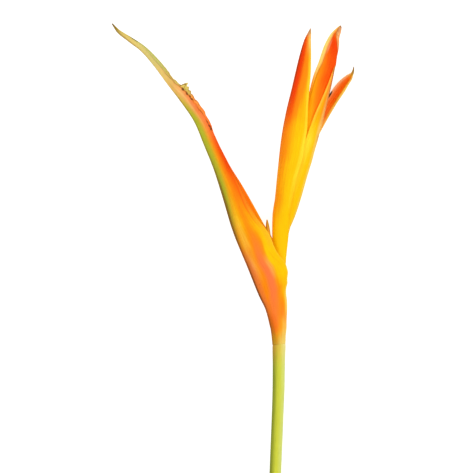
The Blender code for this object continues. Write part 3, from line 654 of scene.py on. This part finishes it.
def add_mesh(name, points, faces, fields, material, nodes):
    """One piece of the flower from its points in millimetres from the neck."""
    mesh = bpy.data.meshes.new(name)
    mesh.from_pydata(((points + NECK) * MM).tolist(), [], faces)
    mesh.validate()
    for field, values in fields.items():
        made = mesh.attributes.new(field, "FLOAT", "POINT")
        made.data.foreach_set("value", np.ascontiguousarray(values, np.float32).ravel())
    corners = points[np.array([f[:3] for f in faces])]
    # The signed volume, which is below zero if the faces look inward
    volume = np.einsum("ij,ij->i", corners[:, 0], np.cross(corners[:, 1], corners[:, 2])).sum() / 6
    if volume < 0:
        mesh.flip_normals()
    mesh.shade_smooth()
    mesh.materials.append(material)
    piece = bpy.data.objects.new(name, mesh)
    scene.collection.objects.link(piece)
    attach(piece, "root")
    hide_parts(*nodes)
    print(name, len(mesh.vertices), "points,", sum(len(f) - 2 for f in faces), "triangles")


print("a row of a bract has", 2 * (SHEET_COLUMNS + RIM_COLUMNS), "points")

# %% [markdown]
# ## Shader arithmetic
#
# A finish is a sum of masks and noises. To write it as a sum, a socket is
# wrapped in a class whose operators add Math nodes.


# %% Socket class
class Field:
    """A socket of a material's tree that can be added, multiplied and so on."""

    def __init__(self, recipe, socket):
        self.recipe = recipe
        self.socket = socket

    def _math(self, operation, *values):
        return self.recipe.node("ShaderNodeMath", {"operation": operation}, dict(enumerate(values)))

    def __add__(self, other):
        return self._math("ADD", self, other)

    def __radd__(self, other):
        return self._math("ADD", other, self)

    def __sub__(self, other):
        return self._math("SUBTRACT", self, other)

    def __rsub__(self, other):
        return self._math("SUBTRACT", other, self)

    def __mul__(self, other):
        return self._math("MULTIPLY", self, other)

    def __rmul__(self, other):
        return self._math("MULTIPLY", other, self)

    def sine(self):
        """The sine of the value, in radians."""
        return self._math("SINE", self)

    def clipped(self):
        """The value kept between 0 and 1."""
        return self.recipe.node("ShaderNodeClamp", {}, {"Value": self})

    def eased(self, start, end):
        """0 below start, 1 above end, and t t (3 - 2 t) between."""
        settings = {"interpolation_type": "SMOOTHSTEP"}
        inputs = {"Value": self, "From Min": start, "From Max": end}
        return self.recipe.node("ShaderNodeMapRange", settings, inputs)


def linear(colour):
    """A colour given as three screen values up to 255, turned to linear light."""
    share = np.array(colour, float) / 255
    light = np.where(share <= 0.04045, share / 12.92, ((share + 0.055) / 1.055) ** 2.4)
    return (*light.tolist(), 1.0)


class Recipe:
    """One material: its tree, its shader, and one method that adds any node."""

    def __init__(self, name, **constants):
        self.material = bpy.data.materials.new(name)
        self.material.use_nodes = True
        self.tree = self.material.node_tree
        self.shader = self.tree.nodes["Principled BSDF"]
        for key, value in constants.items():
            self.shader.inputs[key.replace("_", " ")].default_value = value

    def feed(self, socket, value):
        """Link a field to a socket, or set the socket's own value."""
        if isinstance(value, Field):
            self.tree.links.new(value.socket, socket)
        else:
            socket.default_value = value

    def node(self, kind, settings, inputs, output=0):
        """Add a node: its settings first, then its inputs. Give one output as a field."""
        made = self.tree.nodes.new(kind)
        for key, value in settings.items():
            setattr(made, key, value)
        for key, value in inputs.items():
            self.feed(made.inputs[key], value)
        return Field(self, made.outputs[output])

    def attribute(self, name):
        """A number stored on the mesh's points."""
        return self.node("ShaderNodeAttribute", {"attribute_name": name}, {}, "Fac")

    def place(self, x, y, z=0.0):
        """Three fields as one vector."""
        return self.node("ShaderNodeCombineXYZ", {}, {0: x, 1: y, 2: z})

    def noise(self, vector, scale, detail):
        """Smooth noise between 0 and 1, of so many layers, each twice as fine."""
        inputs = {"Vector": vector, "Scale": scale, "Detail": detail}
        return self.node("ShaderNodeTexNoise", {}, inputs, "Fac")

    def mix(self, factor, under, over):
        """One colour over another."""
        inputs = {0: factor, 6: under, 7: over}
        return self.node("ShaderNodeMix", {"data_type": "RGBA"}, inputs, 2)

    def shade(self, colour, amount):
        """A colour multiplied by a number."""
        return self.node("ShaderNodeVectorMath", {"operation": "SCALE"}, {0: colour, "Scale": amount})

    def bump(self, height, strength, distance):
        """A normal bent by a height field."""
        inputs = {"Height": height, "Strength": strength, "Distance": distance}
        return self.node("ShaderNodeBump", {}, inputs)

    def finish(self, **inputs):
        """Feed the shader's inputs and give the material."""
        for key, value in inputs.items():
            self.feed(self.shader.inputs[key.replace("_", " ")], value)
        return self.material


print("the ground in linear light is", [round(c, 3) for c in linear(GROUND)])

# %% [markdown]
# ## The bract's finish
#
# A bract is smooth and waxy, with fine veins that run its whole length. The
# pigments follow the veins, so each mask is frayed by a noise stretched along
# them. Freckles are dead cells, brown and a little sunken. The thin wall lets some
# light through from behind, which a faint glow in the bract's own colour stands for.


# %% Bract material
GLOW = 0.14
VEINS = 95.0
FRECKLE_BROWN = (150, 78, 24)


def bract_finish(name):
    """Pigments over the orange ground, frayed along the veins, with freckles and vein relief."""
    recipe = Recipe(name, IOR=1.42, Specular_IOR_Level=0.06, Emission_Strength=GLOW)
    along = recipe.attribute("along")
    across = recipe.attribute("across")
    inside = recipe.attribute("inside")
    fibre_place = recipe.place(across * 16.0, along * 0.035, inside * 3.0)
    fray = recipe.noise(fibre_place, 1.0, 3.0) - 0.5
    fine_place = recipe.place(across * 60.0, along * 0.09, inside * 3.0)
    fine = recipe.noise(fine_place, 1.0, 2.0) - 0.5
    cloud = recipe.noise(recipe.place(across * 3.0, along * 0.14, inside * 2.0), 1.0, 4.0) - 0.5

    colour = linear(GROUND)
    for pigment, shade in PIGMENTS.items():
        mask = recipe.attribute(pigment)
        open_part = mask * (1.0 - mask) * 4.0
        frayed = mask + open_part * (fray * 0.5 + fine * 0.25 + cloud * 0.35)
        colour = recipe.mix(frayed.clipped(), colour, linear(shade))

    speck_place = recipe.place(across * 26.0, along * 0.9, inside * 3.0)
    speck = recipe.noise(speck_place, 1.0, 1.0).eased(0.66, 0.74) * recipe.attribute("freckle")
    colour = recipe.mix(speck * 0.75, colour, linear(FRECKLE_BROWN))
    tone = 1.0 + fine * 0.2 + cloud * 0.10 + fray * 0.12
    colour = recipe.shade(colour, tone)

    veins = (across * VEINS + fray * 5.0).sine() * 0.35 + fine * 1.2 + cloud * 0.8
    # The brown mask roughens the skin: the dry tips and rims, and on bract_1 also its lines of painted
    # shade
    dry = recipe.attribute("brown")
    return recipe.finish(
        Base_Color=colour,
        Emission_Color=colour,
        Roughness=(0.42 + fine * 0.2 + dry * 0.3 + speck * 0.2).clipped(),
        Normal=recipe.bump(veins - speck * 1.5, 0.35, 0.00025),
    )


# Freckles beside the keel, and on the drying rims of the two oldest bracts
FRECKLES = {
    "bract_1": """
keel 14 1 2 0 | 24 1.2 2 .6 | 30 1.4 1.8 1 | 38 1.2 1.6 .5 | 60 1 2 .1
near 44 .4 .8 0 | 66 .4 .6 .15 | 74 .4 .6 .35 | 104 .4 .8 .5 | 116 .4 1.6 1 | 138 .4 1.4 1 |
  150 .4 .8 .6
far 116 .4 1 0 | 122 .6 1.6 1 | 136 .6 1.6 1 | 150 .5 1 .4
    """,
    "bract_2": "rim 118 .4 1 0 | 126 .4 1.2 .8 | 142 .4 1 .8",
}
YOUNG_FRECKLES = "keel 90 .5 1.2 .1 | 110 .5 1.2 .35 | 150 .4 1 .4"


def freckles(name, along, measures):
    """How thickly freckles are sprinkled at each point: the strongest of the stripes there."""
    tables = read_tables(FRECKLES.get(name, YOUNG_FRECKLES), 1)
    return np.max([stripe(measures[kind], along, rows) for kind, rows in tables], axis=0)


print("freckles on the young bracts:", YOUNG_FRECKLES)

# %% [markdown]
# ## The five bracts
#
# Each bract gets its grid, its masks, and a skin closed with a point just past
# the tip and with a crescent at the base, where the wall ends inside the head.

# %% Build the bracts
for seed, (name, shape) in enumerate(BRACTS.items()):
    grid, across, inside, along, measures = bract_grid(name, shape, 10 * seed + 3)
    fields = {"along": along, "across": across, "inside": inside}
    for pigment in PIGMENTS:
        masks = []
        for face in ("outside", "inside"):
            stripes = STRIPES[name][face].get(pigment, [])
            masks.append(spread(stripes, measures, along) if stripes else 0 * along)
        fields[pigment] = masks[0] * (1 - inside) + masks[1] * inside
    for middle, where, length, width, strength in SPOTS.get(name, []):
        far = ((along - middle) / length) ** 2 + ((across - where) / width) ** 2
        fields["black"] = np.maximum(fields["black"], strength * np.clip(2.2 - 1.5 * far, 0, 1))
    fields["freckle"] = freckles(name, along, measures)
    rows, columns = grid.shape[:2]
    fields = {k: np.concatenate([v.ravel(), [v[-1].mean()]]) for k, v in fields.items()}
    faces = bract_faces(rows, columns)
    points = np.concatenate([grid.reshape(-1, 3), [past_end(grid, 0.5)]])
    finish = bract_finish("wax_" + name)
    add_mesh("skin_" + name, points, faces, fields, finish, [name])

# %% [markdown]
# ## The stem
#
# The peduncle is a solid round stalk with faint ridges. It goes on inside the
# head as a zigzag axis that thins at each bract. The end was cut a little
# aslant and shows pale pith with a ring of green.

# %% Build the stem
# Rows of the axis: x, y, half its height and half its width
AXIS_TEXT = """
axis -5.2 -140 2.85 3.05 | -3.48 -105 2.85 3.08 | -2.08 -66 2.85 3.08 | -.88 -35 2.85 3.1 |
  -.44 -21 2.85 3.2 | -.35 -12 2.85 3.25 | -.3 -6 2.85 3.35 | -.2 -1 2.85 3.48 | -.1 1.5 2.75 3.1 |
  .5 5 2.25 2.4 | .9 9.5 2.1 2.1 | .8 18 2.1 2.1 | .3 30 1.8 1.8 | .3 40 1.75 1.75 | .7 50 1.45 1.45 |
  1.4 58 1.25 1.25 | 1.7 65 .95 .95 | 1.8 69 .75 .75
"""
AXIS = dict(read_tables(AXIS_TEXT, 1))["axis"]
STEM_STEP = 0.7
STEM_COLUMNS = 72
STEM_RADIUS = 2.85
RIBS = 9
CUT_SLANT = 1.2
# Rings of the cut face, as shares of the way from its middle to its edge
CUT_RINGS = np.array([0.02, 0.3, 0.6, 0.85, 0.97])


def tube_frame(points):
    """Two directions square to a row of points and to each other."""
    tangent = unit(np.gradient(points, axis=0))
    side = unit(np.cross(tangent, [0.0, 0.0, 1.0]))
    return tangent, side, np.cross(side, tangent)


def stem_grid():
    """The rings of the cut face and then those along the axis, and the place of each point."""
    table = [(x, y, axis_height(y), high, wide) for x, y, high, wide in AXIS]
    rows = path(table, STEM_STEP)
    points, high, wide = rows[:, :3], rows[:, 3:4], rows[:, 4:5]
    tangent, side, over = tube_frame(points)
    turn = np.linspace(0, 2 * math.pi, STEM_COLUMNS, endpoint=False)[None, :]
    y = points[:, 1:2]
    ridge = 0.035 * np.cos(turn * RIBS + y * 0.01) + 0.05 * noise(turn * 2.5, y / 45, 91)
    ridge = ridge * high / STEM_RADIUS - 0.02
    sideways = ((wide + ridge) * np.cos(turn))[..., None] * side[:, None]
    upright = ((high + ridge) * np.sin(turn))[..., None] * over[:, None]
    grid = points[:, None] + sideways + upright
    grid[0] += (CUT_SLANT * np.cos(turn)[..., None] * tangent[0])[0]
    shares = CUT_RINGS[:, None, None]
    cut = points[0] + shares * (grid[0] - points[0])[None] + 0.12 * (1 - shares) * tangent[0]
    grid = np.concatenate([cut, grid])
    level = 0 * turn
    cut_mark = np.concatenate([np.ones(len(CUT_RINGS)), np.zeros(len(rows))])[:, None] + level
    rim = np.concatenate([CUT_RINGS, np.ones(len(rows))])[:, None] + level
    along = np.concatenate([np.full(len(CUT_RINGS), y[0, 0]), y[:, 0]])[:, None] + level
    marks = {"along": along, "side": np.cos(turn) + 0 * along, "over": np.sin(turn) + 0 * along}
    return grid, {**marks, "cut": cut_mark, "ring": rim}


def stem_finish():
    """Yellow green with painted shade on the left side and a painted highlight on the right, gold at the
    neck, with pale pith on the cut.
    """
    recipe = Recipe("stem_green", IOR=1.42, Specular_IOR_Level=0.14)
    along = recipe.attribute("along")
    around = recipe.place(recipe.attribute("over"), recipe.attribute("side"), along * 0.012)
    fibre = recipe.noise(around, 7.0, 3.0) - 0.5
    fine = recipe.noise(around, 22.0, 2.0) - 0.5
    # Painted light: the green goes to dark olive on the left side as painted shade, and to pale yellow
    # green on the right side as a painted highlight
    side = recipe.attribute("side") + fibre * 0.5
    green = recipe.mix(side.eased(-1.1, 0.1), linear((138, 150, 30)), linear((218, 222, 66)))
    green = recipe.mix(side.eased(0.0, 1.0), green, linear((228, 236, 122)))
    flush = (along + fibre * 12.0 + fine * 6.0).eased(-14.0, 2.0)
    # The gold near the neck carries the same painted shade on the left and painted highlight on the right
    blush = recipe.mix(side.eased(-1.1, 0.3), linear((208, 150, 46)), linear((238, 204, 76)))
    blush = recipe.mix(side.eased(0.0, 1.1), blush, linear((255, 240, 156)))
    colour = recipe.mix(flush * 0.9, green, blush)
    ring = recipe.attribute("ring")
    rind = (ring + fine * 0.3).eased(0.55, 0.95)
    pith = recipe.mix(rind, linear((244, 240, 190)), linear((166, 176, 70)))
    colour = recipe.mix(recipe.attribute("cut"), colour, pith)
    colour = recipe.shade(colour, 1.0 + fine * 0.18)
    return recipe.finish(
        Base_Color=colour,
        Roughness=(0.42 + fine * 0.25).clipped(),
        Normal=recipe.bump(fine * 1.4 + fibre, 0.3, 0.0002),
    )


grid, fields = stem_grid()
rows, columns = grid.shape[:2]
number = np.arange(rows * columns).reshape(rows, columns)
cut_fan = fan(number[0], rows * columns)[:, [1, 0, 2]]
tip_fan = fan(number[-1], rows * columns + 1)
faces = ring_quads(number).tolist() + cut_fan.tolist() + tip_fan.tolist()
ends = [grid[0].mean(0), past_end(grid, 0.6)]
points = np.concatenate([grid.reshape(-1, 3), ends])
fields = {k: np.concatenate([v.ravel(), [v[0].mean(), v[-1].mean()]]) for k, v in fields.items()}
add_mesh("skin_peduncle", points, faces, fields, stem_finish(), ["peduncle"])

# %% [markdown]
# ## The true flowers
#
# Inside the lowest bract stand slim tubes. Each is three narrow sepals that lie
# edge to edge round a core and part a little at the tip, which is olive brown.

# %% Build the flowers
# Rows of a flower's path: x, y, height and radius
FLOWER_TEXT = """
flower_1 -2.6 26.5 8.1 .8 | -3.6 33 8.1 1.2 | -4.6 42 8.1 1.7 | -5.1 50 8.2 1.6 | -5.7 57 8.4 1.2 |
  -6.25 62 8.5 .9 | -6.5 65.2 8.5 .3
flower_2 -1.9 18.6 8.3 .7 | -5.6 28 8.8 1.1 | -9.2 38 9.1 1.7 | -11.2 48 9.2 1.7 | -12.1 56 9.1 1.2 |
  -12.6 62 9 .4
flower_3 -2.1 20 6.4 .7 | -6.9 31 5.9 1 | -11.4 41 6 1.4 | -14.4 50 6.2 1.4 | -16 57 6.4 1 |
  -16.9 62 6.6 .4
"""
FLOWERS = dict(read_tables(FLOWER_TEXT, 1))
PETAL_STEP = 0.5
PETAL_COLUMNS = 13
PETAL_WALL = 0.3


def petal(rows, middle, half_angle, out):
    """A strap that lies round a path: angle = middle + half angle times across.

    Its outside is at the path's radius times out, its inside a wall closer.
    """
    points, radius = rows[:, :3], rows[:, 3]
    side, over = tube_frame(points)[1:]
    there = np.linspace(-1, 1, PETAL_COLUMNS)
    across = np.concatenate([there, there[::-1]])[None, :]
    inner = np.repeat([0.0, 1.0], PETAL_COLUMNS)[None, :]
    angle = middle + half_angle[:, None] * across
    bulge = 1 - 0.10 * across**2
    wall = inner * PETAL_WALL * np.minimum(1, radius[:, None])
    reach = radius[:, None] * out[:, None] * bulge - wall
    ring = np.cos(angle)[..., None] * side[:, None] + np.sin(angle)[..., None] * over[:, None]
    return points[:, None] + reach[..., None] * ring, across + 0 * reach


def strap_ends(number):
    """Quads that close the two ends of a strap, between its outer and its inner side."""
    last = PETAL_COLUMNS - 1
    faces = []
    for row, order in ((number[0], 1), (number[-1], -1)):
        outer, inner = row[: last + 1], row[: last : -1]
        sides = [outer[:-1], inner[:-1], inner[1:], outer[1:]]
        faces += np.stack(sides[::order], -1).tolist()
    return faces


def flower_finish():
    """Orange at the stalk, gold in the middle and olive brown at the tip."""
    recipe = Recipe("flower_tube", IOR=1.42, Specular_IOR_Level=0.25)
    along = recipe.attribute("share")
    across = recipe.attribute("across")
    streak = recipe.noise(recipe.place(across * 4.0, along * 2.0), 2.0, 3.0) - 0.5
    colour = recipe.mix(along.eased(0.1, 0.6), linear((250, 140, 20)), linear((248, 186, 36)))
    tip = (along + streak * 0.12).eased(0.8, 1.0)
    colour = recipe.mix(tip * 0.8, colour, linear((206, 154, 30)))
    colour = recipe.shade(colour, 1.0 + streak * 0.35)
    return recipe.finish(Base_Color=colour, Roughness=0.45, Normal=recipe.bump(streak, 0.3, 0.0002))


FLOWER_WAX = flower_finish()
SEPALS = 3
for name, table in FLOWERS.items():
    rows = path(table, PETAL_STEP)
    count = len(rows)
    share = np.linspace(0, 1, count)
    taper = np.clip((1 - share) / 0.25, 0.06, 1) ** 0.6
    flare = 1 + 0.15 * np.clip((share - 0.8) / 0.2, 0, 1) ** 2
    sepal = 1.02 * taper * math.pi / 3
    layers = [(math.pi / 2 + k * 2 * math.pi / 3, sepal, flare) for k in range(SEPALS)]
    layers.append((0.0, math.pi * np.ones(count), 0.72 * np.ones(count)))
    parts, faces = [], []
    fields = {"share": [], "across": []}
    for middle, half_angle, out in layers:
        grid, across = petal(rows, middle, half_angle, out)
        start = sum(len(p) for p in parts)
        number = np.arange(across.size).reshape(across.shape) + start
        faces += ring_quads(number).tolist() + strap_ends(number)
        parts.append(grid.reshape(-1, 3))
        fields["share"].append(np.repeat(share, 2 * PETAL_COLUMNS))
        fields["across"].append(across.ravel() + middle)
    fields = {k: np.concatenate(v) for k, v in fields.items()}
    add_mesh("skin_" + name, np.concatenate(parts), faces, fields, FLOWER_WAX, [name])

# %% [markdown]
# ## Table, light and camera
#
# The photograph is high key: white ground, soft light from the right and above.
# The table is a plain pale sheet. A bright even sky fills the shadows, and one
# large lamp on the right models the folds.

# %% Stage
TABLE_HALF = 3.0
SQUARE = ((-1, -1), (1, -1), (1, 1), (-1, 1))
TABLE_DROP = 0.0002
corners = [(x * TABLE_HALF, y * TABLE_HALF, -TABLE_DROP) for x, y in SQUARE]
floor_mesh = bpy.data.meshes.new("table_top")
floor_mesh.from_pydata(corners, [], [(0, 1, 2, 3)])
floor = bpy.data.objects.new("table_top", floor_mesh)
scene.collection.objects.link(floor)
floor_recipe = Recipe("pale_table", Roughness=0.9, Specular_IOR_Level=0.1, Emission_Strength=0.8)
grain = floor_recipe.noise(floor_recipe.node("ShaderNodeTexCoord", {}, {}, "Object"), 40.0, 2.0)
paper = floor_recipe.mix(grain, linear((198, 198, 198)), linear((202, 202, 202)))
floor_mesh.materials.append(floor_recipe.finish(Base_Color=paper))
floor_recipe.shader.inputs["Emission Color"].default_value = (1.0, 1.0, 1.0, 1.0)
floor.visible_diffuse = False

world = bpy.data.worlds.new("studio")
scene.world = world
world.use_nodes = True
sky = world.node_tree.nodes["Background"].inputs
sky["Color"].default_value = (1.0, 1.0, 1.0, 1.0)
sky["Strength"].default_value = 0.50
HEAD = (0.0, 0.03, 0.0)


def lamp(name, place, size, power):
    """A square lamp at a place, turned to face the flower head."""
    data = bpy.data.lights.new(name, "AREA")
    data.size = size
    data.energy = power
    made = bpy.data.objects.new(name, data)
    made.location = place
    direction = np.array(HEAD) - np.array(place)
    tilt = math.atan2(math.hypot(direction[0], direction[1]), -direction[2])
    heading = math.atan2(direction[1], direction[0]) - math.pi / 2
    made.rotation_euler = (tilt, 0.0, heading)
    scene.collection.objects.link(made)


lamp("key", (0.85, 0.4, 0.7), 0.7, 4.7)
lamp("top", (0.1, 0.2, 1.3), 0.9, 2.4)
lamp("fill", (-0.8, 0.3, 0.9), 0.8, 3.2)

# The camera looks straight down on this point, in millimetres from the neck
AIM = np.array([-22.36, 56.42, 8.0])
CAMERA_RISE = 1.2298
camera = bpy.data.objects.new("camera", bpy.data.cameras.new("camera"))
camera.data.lens = 180.0
camera.data.sensor_width = 36.0
camera.data.clip_start = 0.01
camera.data.clip_end = 10.0
aim = NECK + AIM
camera.location = (aim[0] * MM, aim[1] * MM, aim[2] * MM + CAMERA_RISE)
scene.collection.objects.link(camera)
scene.camera = camera
scene.view_settings.view_transform = "Standard"
